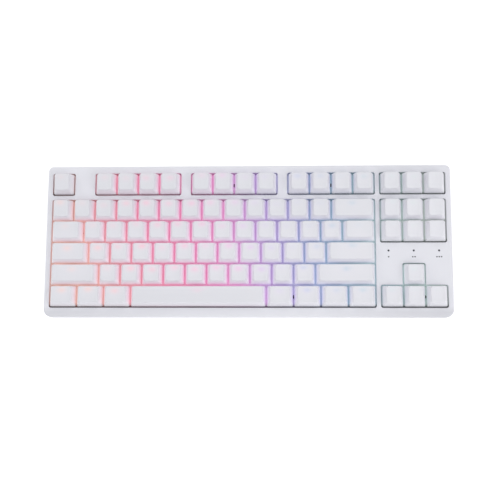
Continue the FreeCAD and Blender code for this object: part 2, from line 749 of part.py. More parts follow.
def make_stem():
    shoulder_top = CAP_FOOT + 0.2
    shoulder = block(-3.55, 3.55, -3.0, 3.0, 2.6, shoulder_top)
    shoulder = shoulder.cut(rod(2.45, 2, 5.4))
    pole = rod(0.9, -3.0, 5.6)
    cross = cross_prism(shoulder_top - 0.3, CROSS_TOP)
    return shoulder.fuse([pole, cross]).removeSplitter()


# ---------------------------------------------------------------- stabilisers
WIRE_R = 0.65
WIRE_BAR_Y = -8.6
WIRE_BAR_Z = -3.6
WIRE_ARM = 9.5                  # from the bar to the middle of the slider's slot
WIRE_REST = math.asin((0.9 - WIRE_BAR_Z) / WIRE_ARM)
STAB_TOP = 2.3


def make_stab_housing():
    base = block(-3.3, 3.3, -9.6, 5.5, BOARD_TOP, -1.6)
    tower = block(-3.3, 3.3, -5.8, 5.5, -1.6, STAB_TOP)
    groove = block(-4, 4, -10, -7.75, WIRE_BAR_Z - 0.85, WIRE_BAR_Z + 0.85)
    slot = block(-0.95, 0.95, -10, -2.8, WIRE_BAR_Z - 0.9, 1.2)
    well = block(-2.0, 2.0, -2.9, 2.9, BOARD_TOP - 1, STAB_TOP + 1)
    return base.fuse(tower).cut([groove, slot, well]).removeSplitter()


def make_stab_slider():
    """Slider that lifts one end of a wide key; its slot holds the arm of the wire."""
    body = block(-1.8, 1.8, -2.6, 2.6, -0.6, CAP_FOOT + 0.2)
    cross = cross_prism(CAP_FOOT, CROSS_TOP)
    low = WIRE_BAR_Z - WIRE_R / math.cos(WIRE_REST) - 0.25
    slope = math.tan(WIRE_REST)
    entry = -2.7
    flat_y = 0.0
    flat_z = low + (flat_y - WIRE_BAR_Y) * slope
    points = [
        Vector(-0.95, entry, low + (entry - WIRE_BAR_Y) * slope),
        Vector(-0.95, flat_y, flat_z),
        Vector(-0.95, 1.9, flat_z),
        Vector(-0.95, 1.9, 1.8),
        Vector(-0.95, entry, 1.8),
    ]
    slot = Part.Face(Part.makePolygon(points + points[:1])).extrude(Vector(1.9, 0, 0))
    return body.fuse(cross).cut(slot).removeSplitter()


def make_stab_wire(half):
    """Bent wire: a bar in front of the switch and an arm into each slider."""
    bend = 1.6
    along = Vector(0, math.cos(WIRE_REST), math.sin(WIRE_REST))
    start = Vector(0, WIRE_BAR_Y, WIRE_BAR_Z)
    tip = along * (WIRE_ARM + 0.65)
    mix = bend * (1 - math.sqrt(0.5))
    left = start + Vector(-half, 0, 0)
    right = start + Vector(half, 0, 0)
    arm_bend = along * bend
    bar_bend = Vector(bend, 0, 0)
    left_mid = left + along * mix + Vector(mix, 0, 0)
    right_mid = right + along * mix - Vector(mix, 0, 0)
    edges = [
        Part.LineSegment(left + tip, left + arm_bend).toShape(),
        Part.Arc(left + arm_bend, left_mid, left + bar_bend).toShape(),
        Part.LineSegment(left + bar_bend, right - bar_bend).toShape(),
        Part.Arc(right - bar_bend, right_mid, right + arm_bend).toShape(),
        Part.LineSegment(right + arm_bend, right + tip).toShape(),
    ]
    path = Part.Wire(edges)
    section = Part.Wire([Part.makeCircle(WIRE_R, left + tip, along)])
    return path.makePipeShell([section], True, False)


# ---------------------------------------------------------------- keycaps
DISH_DEPTH = 0.7                # hollow across the top of a cap
BAR_CROWN = 0.5                 # the space bar is crowned instead
LEAN_FRONT = 2.9                # how far each wall leans in from foot to top
LEAN_REAR = 1.0
LEAN_SIDE = (CAP_BASE - CAP_TOP_W) / 2
CAP_CORNER_R = 1.6


def cap_corners(width, inset, mean, front_h, rear_h):
    """Corners of a cap's outline; the walls lean in with height, mean is the full height."""
    half_w = (width * UNIT - (UNIT - CAP_BASE)) / 2 - inset
    half_d = CAP_BASE / 2 - inset
    front = -half_d + LEAN_FRONT * front_h / mean
    rear = half_d - LEAN_REAR * rear_h / mean
    ends = []
    for y, h in ((front, front_h), (rear, rear_h)):
        side = half_w - LEAN_SIDE * h / mean
        ends.append([Vector(-side, y, CAP_FOOT + h), Vector(side, y, CAP_FOOT + h)])
    return ends[0] + ends[1][::-1]


def make_cap(row, width):
    front_h, rear_h = ROW_PROFILE[row]
    mean = (front_h + rear_h) / 2
    top = cap_corners(width, 0, mean, front_h, rear_h)
    outside = flat_sided(cap_corners(width, 0, mean, 0, 0), top)
    outside = outside.makeFillet(CAP_CORNER_R, rising_edges(outside))
    front, rear = top[0], top[3]
    if width > 6:
        cap = crown_bar(outside, width, front, rear)
    else:
        cap = outside.cut(dish(width, front, rear))

    roof = CAP_WALL + DISH_DEPTH
    low = cap_corners(width, CAP_WALL, mean, -0.01, -0.01)
    inside = flat_sided(low, cap_corners(width, CAP_WALL, mean, front_h - roof, rear_h - roof))
    post = rod(CAP_POST_R, CAP_FOOT + 0.4, CAP_FOOT + mean - CAP_WALL)
    return cap.cut(inside), post


def dish(width, front, rear):
    """Shallow cylinder across the top, running front to rear along the slope of the top."""
    half = (width * UNIT - (UNIT - CAP_TOP_W)) / 2
    radius = (half * half + DISH_DEPTH * DISH_DEPTH) / (2 * DISH_DEPTH)
    along = Vector(0, rear.y - front.y, rear.z - front.z).normalize()
    up = Vector(0, -along.z, along.y)
    start = Vector(0, front.y, front.z) - along * 10 + up * (radius - DISH_DEPTH)
    return Part.makeCylinder(radius, 40, start, along)


def crown_bar(outside, width, front, rear):
    """Round the top of the space bar over, front to rear."""
    half = (rear.y - front.y) / 2
    radius = (half * half + BAR_CROWN * BAR_CROWN) / (2 * BAR_CROWN)
    middle = (front + rear) * 0.5
    axis = Vector(-width * UNIT, middle.y, middle.z + BAR_CROWN / 2 - radius)
    rounded = outside.common(Part.makeCylinder(radius, 2 * width * UNIT, axis, Vector(1, 0, 0)))
    lower = outside.common(block(-200, 200, -50, 50, 0, min(front.z, rear.z) - 1.0))
    return rounded.fuse(lower).removeSplitter()


def make_key(node, key):
    """Keycap, stem and stabiliser sliders of one key, in the deck frame."""
    row, start, width = key
    cap, post = make_cap(row, width)
    half = STABILIZED.get(node)
    offsets = [0.0] if half is None else [-half, 0.0, half]
    posts = [post.translated(Vector(x, 0, 0)) for x in offsets]
    crosses = [cross_prism(0, CROSS_TOP + 0.2, 0.08).translated(Vector(x, 0, 0)) for x in offsets]
    cap = cap.fuse(posts).cut(crosses).removeSplitter()
    solids = [cap, STEM]
    for x in offsets:
        if x:
            solids.append(SLIDER.translated(Vector(x, 0, 0)))
    return at_each(solids, [key_centre(key)])


# ---------------------------------------------------------------- socket and lock lights
def make_usb_socket():
    """Oval metal shell with its tongue, under the rear edge of the board."""
    mouth = 62.0
    depth = 7.3
    width = 8.94
    height = 3.26

    def oval(w, h, y0, y1):
        shape = rounded_block(
            USB_X - w / 2, USB_X + w / 2, USB_Z - h / 2, USB_Z + h / 2, 0, y1 - y0, h / 2 - 0.01
        )
        shape.rotate(Vector(0, 0, 0), Vector(1, 0, 0), 90)
        shape.translate(Vector(0, y1, 0))
        return shape

    shell = oval(width, height, mouth - depth, mouth)
    shell = shell.cut(oval(width - 0.7, height - 0.7, mouth - depth + 1, mouth + 1))
    tongue = block(USB_X - 3.3, USB_X + 3.3, mouth - depth + 0.5, mouth - 0.8, USB_Z - 0.35, USB_Z + 0.35)
    saddle = block(
        USB_X - 3.4, USB_X + 3.4, mouth - depth, 59.9, USB_Z + height / 2 - 0.3, BOARD_TOP - BOARD_T
    )
    saddle = saddle.cut(oval(width - 0.7, height - 0.7, mouth - depth - 1, mouth + 1))
    return shell.fuse([tongue, saddle]).removeSplitter()


def make_lenses():
    """Light pipes from the board to the bezel."""
    pipe = rod(0.7, BOARD_TOP + 0.9, BEZEL_TOP)
    collar = rod(1.1, 1.2, BEZEL_TOP - SKIN - 1.8)
    return at_each([pipe.fuse(collar).removeSplitter()], LIGHT_SPOTS)


# ---------------------------------------------------------------- build and write
os.makedirs("parts", exist_ok=True)

STEM = make_stem()
SLIDER = make_stab_slider()

save("top_case", [make_top_case()])
save("bottom_case", [make_bottom_case()])
save("rubber_pads", make_rubber_pads())
for foot_side, foot_name in ((-1, "left_foot"), (1, "right_foot")):
    save(foot_name, [make_foot(foot_side)])
    save(foot_name + "_grip", [make_foot_grip(foot_side)])
save("switch_plate", [make_switch_plate()])
save("circuit_board", [make_circuit_board()])
save("board_chips", make_board_chips())
save("sound_foam", [make_sound_foam()])
save("case_screws", make_case_screws())
save("plate_screws", make_plate_screws())
save("usb_socket", [make_usb_socket()])
save("indicator_lenses", make_lenses())
save("switch_lower_housings", at_each([make_lower_housing()], SWITCH_SPOTS))
save("switch_upper_housings", at_each([make_upper_housing()], SWITCH_SPOTS))
save("switch_contacts", at_each(make_contacts(), SWITCH_SPOTS))
save("switch_springs", at_each([make_spring()], SWITCH_SPOTS))
save("key_leds", at_each([make_led()], SWITCH_SPOTS))
save("stabilizer_housings", at_each([make_stab_housing()], STAB_SPOTS))
for wide_node, wide_half in STABILIZED.items():
    wire = make_stab_wire(wide_half).translated(key_centre(KEYS[wide_node][0]))
    save(wide_node.replace("_key", "") + "_wire", [wire])
for key_node, run in KEYS.items():
    save(key_node, [solid for key in run for solid in make_key(key_node, key)])
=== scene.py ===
import json
import math
import random

import bpy
import numpy as np
from mathutils import Matrix, Vector


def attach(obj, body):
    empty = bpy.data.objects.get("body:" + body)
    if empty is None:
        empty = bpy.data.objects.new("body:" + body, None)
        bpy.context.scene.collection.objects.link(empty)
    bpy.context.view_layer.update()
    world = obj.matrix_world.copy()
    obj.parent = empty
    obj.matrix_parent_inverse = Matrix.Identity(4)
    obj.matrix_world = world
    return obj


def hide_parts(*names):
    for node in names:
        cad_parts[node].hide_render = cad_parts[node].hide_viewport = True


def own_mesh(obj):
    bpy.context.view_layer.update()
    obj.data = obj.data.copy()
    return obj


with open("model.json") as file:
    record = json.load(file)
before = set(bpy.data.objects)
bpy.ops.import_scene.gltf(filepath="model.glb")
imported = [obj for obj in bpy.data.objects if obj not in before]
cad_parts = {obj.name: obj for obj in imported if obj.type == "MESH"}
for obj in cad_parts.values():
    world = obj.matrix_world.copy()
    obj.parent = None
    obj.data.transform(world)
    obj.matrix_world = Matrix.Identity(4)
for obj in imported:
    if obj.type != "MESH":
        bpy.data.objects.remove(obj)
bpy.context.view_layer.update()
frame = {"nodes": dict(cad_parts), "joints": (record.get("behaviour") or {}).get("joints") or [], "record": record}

# ---------------------------------------------------------------- the deck frame
# Pieces are designed in millimetres in the deck frame, as the CAD model is: origin in the middle
# of the key field on the switch plate, +Z out of the deck, which leans towards the typist.
MM = 0.001
UNIT = 19.05                        # pitch of the keys
FIELD_W = 18.25 * UNIT
FIELD_D = 6.25 * UNIT
BEZEL_TOP = 7.5
CAP_FOOT = 6.4                      # lower edge of the caps
SOCKET_MOUTH = (-60.0, 62.0, -8.4)  # place of the mount cable_socket

joints = {joint["name"]: joint for joint in frame["joints"]}
mounts = {mount["name"]: mount for mount in frame["record"]["mounts"]}
press_axis = Vector(joints["space_bar_press"]["axis"])
deck_turn = Matrix.Rotation(math.asin(press_axis.y), 4, "X")
deck_shift = Vector(mounts["cable_socket"]["pos_m"]) - deck_turn @ (Vector(SOCKET_MOUTH) * MM)
DECK = Matrix.Translation(deck_shift) @ deck_turn @ Matrix.Scale(MM, 4)
DECK_ARRAY = np.array(DECK)


def column(units):
    return -FIELD_W / 2 + units * UNIT


def row(units):
    return -FIELD_D / 2 + units * UNIT


ROW_Y = {
    "bottom": row(0.5),
    "lower": row(1.5),
    "home": row(2.5),
    "top": row(3.5),
    "number": row(4.5),
    "function": row(5.75),
}
# Height of the front and the rear edge of a cap's top above its foot.
ROW_PROFILE = {
    "function": (9.7, 11.5),
    "number": (9.7, 11.5),
    "top": (9.0, 9.9),
    "home": (9.2, 8.9),
    "lower": (9.5, 8.6),
    "bottom": (9.7, 8.7),
}
KEYS = {}


def key_run(node, row_name, start, widths):
    """Keys of one node, from left to right: place of the first and width of each, in key units."""
    for width in widths:
        KEYS.setdefault(node, []).append((row_name, start, width))
        start += width


key_run("escape_key", "function", 0, [1])
key_run("f1_f4_keys", "function", 2, [1] * 4)
key_run("f5_f8_keys", "function", 6.5, [1] * 4)
key_run("f9_f12_keys", "function", 11, [1] * 4)
key_run("print_group_keys", "function", 15.25, [1] * 3)
key_run("number_keys_left", "number", 0, [1] * 7)
key_run("number_keys_right", "number", 7, [1] * 6)
key_run("backspace_key", "number", 13, [2])
key_run("nav_upper_keys", "number", 15.25, [1] * 3)
key_run("tab_key", "top", 0, [1.5])
key_run("top_letters_left", "top", 1.5, [1] * 6)
key_run("top_letters_right", "top", 7.5, [1] * 6)
key_run("backslash_key", "top", 13.5, [1.5])
key_run("nav_lower_keys", "top", 15.25, [1] * 3)
key_run("caps_lock_key", "home", 0, [1.75])
key_run("home_letters_left", "home", 1.75, [1] * 5)
key_run("home_letters_right", "home", 6.75, [1] * 6)
key_run("enter_key", "home", 12.75, [2.25])
key_run("left_shift_key", "lower", 0, [2.25])
key_run("lower_letters_left", "lower", 2.25, [1] * 5)
key_run("lower_letters_right", "lower", 7.25, [1] * 5)
key_run("right_shift_key", "lower", 12.25, [2.75])
key_run("up_arrow_key", "lower", 16.25, [1])
key_run("left_control_key", "bottom", 0, [1.25])
key_run("left_system_key", "bottom", 1.25, [1.25])
key_run("left_alt_key", "bottom", 2.5, [1.25])
key_run("space_bar", "bottom", 3.75, [6.25])
key_run("right_alt_key", "bottom", 10, [1.25])
key_run("function_shift_key", "bottom", 11.25, [1.25])
key_run("menu_key", "bottom", 12.5, [1.25])
key_run("right_control_key", "bottom", 13.75, [1.25])
key_run("left_arrow_key", "bottom", 15.25, [1])
key_run("down_arrow_key", "bottom", 16.25, [1])
key_run("right_arrow_key", "bottom", 17.25, [1])

# Wide keys with a stabiliser: distance of its two sliders from the middle of the key.
STABILIZED = {
    "backspace_key": 11.94,
    "enter_key": 11.94,
    "left_shift_key": 11.94,
    "right_shift_key": 11.94,
    "space_bar": 50.0,
}


# ---------------------------------------------------------------- camera, light and floor
CAMERA_AT = (31.6, -119.9, 752.4 + BEZEL_TOP)
CAMERA_PITCH = math.radians(-8.36)
CAMERA_YAW = math.radians(-2.20)
CAMERA_ROLL = math.radians(0.11)
CAMERA_LENS = 62.4
CAMERA_SENSOR = 36

SKY_COLOUR = (0.97, 0.98, 1.0)
SKY_STRENGTH = 0.55
# Soft boxes aimed at the keyboard: name, place in metres, size in metres, power.
SOFT_BOXES = [
    ("rear_light", (0.05, 0.7, 1.0), (1.2, 0.7), 2.7),
    ("front_light", (-0.1, -0.95, 0.75), (1.6, 0.7), 1.9),
    ("left_light", (-1.0, 0.1, 0.85), (1.2, 0.6), 2.7),
    ("right_light", (0.75, -0.4, 0.75), (0.9, 0.6), 3.6),
]
FLOOR_SIZE = 6
FLOOR_GLOW = 0.29


def make_camera():
    data = bpy.data.cameras.new("camera")
    data.lens = CAMERA_LENS
    data.sensor_width = CAMERA_SENSOR
    data.clip_start = 0.01
    camera = bpy.data.objects.new("camera", data)
    bpy.context.scene.collection.objects.link(camera)
    look = (
        Matrix.Rotation(CAMERA_ROLL, 3, "Z")
        @ Matrix.Rotation(CAMERA_YAW, 3, "Y")
        @ Matrix.Rotation(CAMERA_PITCH, 3, "X")
    )
    turn = deck_turn.to_3x3() @ look.transposed()
    camera.matrix_world = Matrix.Translation(DECK @ Vector(CAMERA_AT)) @ turn.to_4x4()
    bpy.context.scene.camera = camera


def make_soft_box(name, at, size, power):
    data = bpy.data.lights.new(name, "AREA")
    data.shape = "RECTANGLE"
    data.size, data.size_y = size
    data.energy = power
    light = bpy.data.objects.new(name, data)
    bpy.context.scene.collection.objects.link(light)
    light.location = at
    light.rotation_euler = (-Vector(at)).to_track_quat("-Z", "Y").to_euler()


def make_sky():
    world = bpy.data.worlds.new("studio")
    bpy.context.scene.world = world
    world.use_nodes = True
    background = world.node_tree.nodes["Background"]
    background.inputs["Color"].default_value = (*SKY_COLOUR, 1)
    background.inputs["Strength"].default_value = SKY_STRENGTH


def make_floor():
    bpy.ops.mesh.primitive_grid_add(x_subdivisions=8, y_subdivisions=8, size=FLOOR_SIZE)
    floor = bpy.context.object
    floor.name = "floor"
    floor.data.materials.append(floor_material())


def make_studio():
    view = bpy.context.scene.view_settings
    view.view_transform = "Standard"
    view.look = "None"
    make_sky()
    for soft_box in SOFT_BOXES:
        make_soft_box(*soft_box)
    make_floor()


# ---------------------------------------------------------------- material helpers
GRAIN_DEPTH = 0.0002   # metres


class Nodes:
    """Short way to write a node material."""

    def __init__(self, name):
        self.material = bpy.data.materials.new(name)
        self.material.use_nodes = True
        self.tree = self.material.node_tree
        self.shader = self.tree.nodes["Principled BSDF"]
        coordinates = self.tree.nodes.new("ShaderNodeTexCoord")
        self.place = coordinates.outputs["Object"]

    def add(self, kind, **values):
        node = self.tree.nodes.new(kind)
        for name, value in values.items():
            setattr(node, name, value)
        return node

    def link(self, source, target):
        self.tree.links.new(source, target)

    def fill(self, targets, values):
        """Set each input to a number or a colour, or link it to another node's output."""
        for target, value in zip(targets, values):
            if isinstance(value, tuple):
                target.default_value = (*value, 1)
            elif isinstance(value, (int, float)):
                target.default_value = value
            else:
                self.link(value, target)

    def set(self, **values):
        for name, value in values.items():
            self.shader.inputs[name.replace("_", " ")].default_value = value

    def feed(self, name, source):
        self.link(source, self.shader.inputs[name])

    def noise(self, scale, detail=3.0, roughness=0.55):
        node = self.add("ShaderNodeTexNoise")
        node.inputs["Scale"].default_value = scale
        node.inputs["Detail"].default_value = detail
        node.inputs["Roughness"].default_value = roughness
        self.link(self.place, node.inputs["Vector"])
        return node.outputs["Fac"]

    def spread_noise(self, scale, out_low, out_high, detail=3.0):
        """Noise stretched to run from one value to another."""
        return self.remap(self.noise(scale, detail), 0.3, 0.7, out_low, out_high)

    def ramp(self, source, stops):
        node = self.add("ShaderNodeValToRGB")
        elements = node.color_ramp.elements
        while len(elements) < len(stops):
            elements.new(0.5)
        for element, (at, colour) in zip(elements, stops):
            element.position = at
            element.color = (*colour, 1)
        self.link(source, node.inputs["Fac"])
        return node.outputs["Color"]

    def remap(self, source, low, high, out_low, out_high):
        node = self.add("ShaderNodeMapRange")
        names = ("Value", "From Min", "From Max", "To Min", "To Max")
        self.fill([node.inputs[name] for name in names], (source, low, high, out_low, out_high))
        return node.outputs["Result"]

    def math(self, operation, *values):
        node = self.add("ShaderNodeMath", operation=operation)
        self.fill(node.inputs, values)
        return node.outputs["Value"]

    def product(self, first, *others):
        for other in others:
            first = self.math("MULTIPLY", first, other)
        return first

    def mix(self, share, first, second):
        """Colour: first where share is 0, second where it is 1."""
        node = self.add("ShaderNodeMix", data_type="RGBA")
        self.fill([node.inputs[k] for k in (0, 6, 7)], (share, first, second))
        return node.outputs[2]

    def blend(self, share, first, second):
        """Number: first where share is 0, second where it is 1."""
        node = self.add("ShaderNodeMix", data_type="FLOAT")
        self.fill([node.inputs[k] for k in (0, 2, 3)], (share, first, second))
        return node.outputs[0]

    def bump(self, scale, strength):
        node = self.add("ShaderNodeBump")
        node.inputs["Strength"].default_value = strength
        node.inputs["Distance"].default_value = GRAIN_DEPTH
        self.link(self.noise(scale, 2), node.inputs["Height"])
        self.link(node.outputs["Normal"], self.shader.inputs["Normal"])

    def distance(self, axis):
        """Millimetres from the deck's origin along a direction, at rest."""
        node = self.add("ShaderNodeVectorMath", operation="DOT_PRODUCT")
        self.link(self.place, node.inputs[0])
        node.inputs[1].default_value = axis
        shifted = self.math("SUBTRACT", node.outputs["Value"], axis.dot(DECK.translation))
        return self.math("MULTIPLY", shifted, 1 / MM)

    def deck_height(self):
        return self.distance(-press_axis)

    def deck_plan(self):
        """Place on the deck, from left to right and from front to rear."""
        return [self.distance(deck_turn @ Vector(axis)) for axis in ((1, 0, 0), (0, 1, 0))]

    def profile(self, source, stops):
        """Value that runs straight between stops (place in millimetres, value)."""
        first, last = stops[0][0], stops[-1][0]
        share = self.remap(source, first, last, 0, 1)
        greys = [((at - first) / (last - first), (value,) * 3) for at, value in stops]
        return self.ramp(share, greys)


# ---------------------------------------------------------------- backlight
# Colours of the backlight from left to right: place in millimetres, light given off.
BACKLIGHT = [
    (-180, (0.58, 0.28, 0.20)),
    (-150, (0.61, 0.26, 0.20)),
    (-130, (0.64, 0.19, 0.22)),
    (-100, (0.65, 0.13, 0.23)),
    (-60, (0.65, 0.12, 0.29)),
    (-25, (0.58, 0.15, 0.39)),
    (0, (0.40, 0.18, 0.46)),
    (20, (0.27, 0.19, 0.46)),
    (45, (0.17, 0.22, 0.42)),
    (75, (0.12, 0.23, 0.34)),
    (100, (0.18, 0.30, 0.34)),
    (135, (0.29, 0.43, 0.40)),
    (155, (0.34, 0.42, 0.38)),
    (180, (0.38, 0.41, 0.38)),
]
# The colours slant: in the front rows each lies further to the right.
SLANT = 20
SLANT_ROWS = [(-60, 0), (-50, 0), (-12, 0.8), (10, 1), (60, 1)]
WANDER = 7              # how far the colours stray from their places
SIDE_SHARE = 0.55       # strength at a window's sides
SIDE_FADE = 4           # distance from there to full strength
FRONT_DARK = 0.5        # a window is dark up to here from its front edge
FRONT_FADE = 3.5        # and at full strength from here
REAR_SHARE = 0.5        # strength at a window's rear edge
REAR_FADE = 1
SKIRT = 0.4             # thickness of the lit skirt behind the rear edge
ROW_FADE = 3.5          # distance from a boundary between two rows to full strength

# Windows across the deck (left, right, strength) and from front to rear (front, rear).
MAIN_ACROSS = [(column(0), column(15), 1), (column(15.25), column(18.25), 0.7)]
FUNCTION_ACROSS = [
    (column(0), column(1), 0.55),
    (column(2), column(6), 1),
    (column(6.5), column(10.5), 1),
    (column(11), column(15), 0.9),
    (column(15.25), column(18.25), 0.6),
]
FUNCTION_ROW = (row(5.25), row(6.25))
MAIN_ALONG = [(row(0), row(5)), FUNCTION_ROW]
NAV_ALONG = [(row(0), row(2)), (row(3), row(5)), FUNCTION_ROW]


def fade_from_sides(windows):
    """Stops across the deck: each window is weaker at its sides."""
    stops = []
    for left, right, full in windows:
        stops += [(left, SIDE_SHARE * full), (left + SIDE_FADE, full)]
        stops += [(right - SIDE_FADE, full), (right, SIDE_SHARE * full)]
    return stops


def fade_from_ends(windows):
    """Stops from front to rear: each window is dark at its front and weaker at its rear."""
    stops = []
    for front, rear in windows:
        stops += [(front + FRONT_DARK, 0), (front + FRONT_FADE, 1)]
        stops += [(rear - REAR_FADE, 1), (rear + SKIRT, REAR_SHARE)]
    return stops


def backlight(nodes):
    """Light of the key LEDs: colour, its share across the windows and its share front to rear."""
    x, y = nodes.deck_plan()
    wander = nodes.spread_noise(14, -WANDER, WANDER, 1.0)
    slant = nodes.remap(nodes.profile(y, SLANT_ROWS), 0, 1, -SLANT, 0)
    place = nodes.math("ADD", nodes.math("ADD", x, wander), slant)
    first, last = BACKLIGHT[0][0], BACKLIGHT[-1][0]
    stops = [((at - first) / (last - first), colour) for at, colour in BACKLIGHT]
    colour = nodes.ramp(nodes.remap(place, first, last, 0, 1), stops)

    in_function = nodes.math("GREATER_THAN", y, row(5.125))
    in_nav = nodes.math("GREATER_THAN", x, column(15.125))
    across = nodes.blend(
        in_function,
        nodes.profile(x, fade_from_sides(MAIN_ACROSS)),
        nodes.profile(x, fade_from_sides(FUNCTION_ACROSS)),
    )
    along = nodes.blend(
        in_nav,
        nodes.profile(y, fade_from_ends(MAIN_ALONG)),
        nodes.profile(y, fade_from_ends(NAV_ALONG)),
    )
    return colour, across, along


def row_share(nodes, least, most=0.8):
    """Strength of the painted glow over the middle of each row of keys, and its lesser strength at the rows'
    boundaries, a painted shade between the rows.
    """
    stops = []
    for k in range(6):
        stops += [(row(k) - ROW_FADE, most), (row(k), least), (row(k) + ROW_FADE, most)]
    return nodes.profile(nodes.deck_plan()[1], stops)


# ---------------------------------------------------------------- materials
# Marks in front of the lock lights: place of their middle and pitch, half size of a dash.
LOCK_MIDDLE = (column(16.75), -15.5)
LOCK_PITCH = 21.9
DASH_HALF = (0.6, 0.5)
DASHES = {-1: [0], 0: [-1, 1], 1: [-2, 0, 2]}
WINDOW_MARGIN = 1.2     # how far the windows' skirts reach past the key field


def floor_material():
    nodes = Nodes("floor_paper")
    nodes.feed("Base Color", nodes.mix(nodes.noise(6), (0.93, 0.93, 0.935), (0.95, 0.95, 0.95)))
    nodes.set(Roughness=0.9, Emission_Color=(1, 1, 1, 1), Emission_Strength=FLOOR_GLOW)
    return nodes.material


def lock_marks(nodes, x, y, height):
    """Mask of the plain marks in front of the lock lights: one, two and three short dashes."""
    middle_x, middle_y = LOCK_MIDDLE
    dashes = []
    for light, offsets in DASHES.items():
        for offset in offsets:
            centre = middle_x + light * LOCK_PITCH + offset
            away = nodes.math("ABSOLUTE", nodes.math("SUBTRACT", x, centre))
            dashes.append(nodes.math("LESS_THAN", away, DASH_HALF[0]))
    mask = dashes[0]
    for dash in dashes[1:]:
        mask = nodes.math("ADD", mask, dash)
    away = nodes.math("ABSOLUTE", nodes.math("SUBTRACT", y, middle_y))
    in_line = nodes.math("LESS_THAN", away, DASH_HALF[1])
    on_top = nodes.math("GREATER_THAN", height, BEZEL_TOP - 0.2)
    return nodes.product(mask, in_line, on_top)


def inside_windows(nodes, x, y, height):
    """Mask of the skirts inside the windows, between the plate and the bezel's top edge."""
    within_x = nodes.math("LESS_THAN", nodes.math("ABSOLUTE", x), FIELD_W / 2 + WINDOW_MARGIN)
    within_y = nodes.math("LESS_THAN", nodes.math("ABSOLUTE", y), FIELD_D / 2 + WINDOW_MARGIN)
    below_edge = nodes.remap(height, BEZEL_TOP - 0.5, BEZEL_TOP - 1.3, 0, 1)
    above_plate = nodes.math("GREATER_THAN", height, -0.5)
    return nodes.product(within_x, within_y, below_edge, above_plate)


def case_material():
    """Satin plastic; the skirts inside the windows are painted with the backlight's glow, or painted dark where
    they lie in shadow.
    """
    nodes = Nodes("case_plastic")
    x, y = nodes.deck_plan()
    height = nodes.deck_height()
    plain = nodes.mix(nodes.noise(9), (0.79, 0.79, 0.835), (0.82, 0.82, 0.865))
    # Painted shade: greyer along the front edge, most at its ends, and a little to the right of the main block,
    # where less light falls.
    corners = nodes.profile(x, [(-180, 1), (-60, 0.25), (60, 0.25), (180, 1.1)])
    front = nodes.remap(y, -59, -64, 0, 0.22)
    right = nodes.remap(x, 60, 135, 0, 0.09)
    painted_shade = nodes.math("ADD", nodes.product(corners, front), right)
    plain = nodes.mix(painted_shade, plain, (0.30, 0.30, 0.33))
    plain = nodes.mix(lock_marks(nodes, x, y, height), plain, (0.05, 0.05, 0.06))
    colour, across, along = backlight(nodes)
    inside = inside_windows(nodes, x, y, height)
    # Painted shade on the skirts where the backlight is weak, mostly at the windows' front edges.
    shade = nodes.product(inside, nodes.math("SUBTRACT", 1.0, along))
    nodes.feed("Base Color", nodes.mix(shade, plain, (0.10, 0.09, 0.11)))
    nodes.feed("Roughness", nodes.spread_noise(300, 0.40, 0.52))
    nodes.bump(2600, 0.12)
    # Painted glow of the backlight on the skirts.
    nodes.feed("Emission Color", colour)
    nodes.feed("Emission Strength", nodes.product(across, along, inside, 0.55))
    return nodes.material


def keycap_material():
    """Slightly translucent plastic, drawn opaque: the light from below is painted on as a glow on the walls and in
    a patch on top.
    """
    nodes = Nodes("keycap_plastic")
    colour, across, along = backlight(nodes)
    window = nodes.product(across, along)
    low = nodes.remap(nodes.deck_height(), CAP_FOOT, CAP_FOOT + 9.5, 1, 0)
    patch = nodes.add("ShaderNodeAttribute", attribute_name="patch").outputs["Fac"]
    plain = nodes.mix(nodes.noise(12), (0.745, 0.745, 0.785), (0.77, 0.77, 0.81))
    # Painted glow: the base colour takes on the backlight's colour in the patch on top.
    nodes.feed("Base Color", nodes.mix(nodes.product(patch, 0.25, window), plain, colour))
    nodes.feed("Roughness", nodes.spread_noise(420, 0.34, 0.46))
    nodes.bump(3200, 0.10)
    # Painted glow on the walls: strongest near the foot in the backlight's colour, pale and weaker towards the
    # top, and weaker at the rows' boundaries.
    walls = nodes.remap(nodes.math("POWER", low, 1.1), 0, 1, 0.0, 0.55)
    walls = nodes.product(walls, row_share(nodes, 0.6, 1.0))
    glow = nodes.math("ADD", walls, nodes.product(patch, 0.27))
    pale = nodes.mix(nodes.math("POWER", low, 1.3), (0.56, 0.44, 0.53), colour)
    nodes.feed("Emission Color", nodes.mix(patch, pale, colour))
    nodes.feed("Emission Strength", nodes.product(glow, window))
    return nodes.material


def plate_material():
    """White paint, with the light of the key LEDs painted on as a glow from above."""
    nodes = Nodes("plate_paint")
    colour, across, along = backlight(nodes)
    plain = nodes.mix(nodes.noise(30), (0.78, 0.78, 0.79), (0.84, 0.84, 0.85))
    # Painted shade: the plate turns dark where the backlight is weak, mostly along the windows' front edges.
    nodes.feed("Base Color", nodes.mix(along, (0.08, 0.08, 0.09), plain))
    nodes.feed("Roughness", nodes.spread_noise(500, 0.45, 0.6))
    nodes.bump(1500, 0.2)
    upper_face = nodes.math("GREATER_THAN", nodes.deck_height(), -0.3)
    nodes.feed("Emission Color", colour)
    nodes.feed(
        "Emission Strength", nodes.product(across, along, upper_face, row_share(nodes, 0.58))
    )
    return nodes.material


def simple_material(name, dark, light, roughness, scale=60, bump=0.15, **extra):
    """Procedural finish: two close colours, varied roughness and a fine bump."""
    nodes = Nodes(name)
    nodes.feed("Base Color", nodes.mix(nodes.noise(scale), dark, light))
    nodes.feed("Roughness", nodes.spread_noise(scale * 6, *roughness))
    nodes.bump(scale * 30, bump)
    nodes.set(**extra)
    return nodes.material


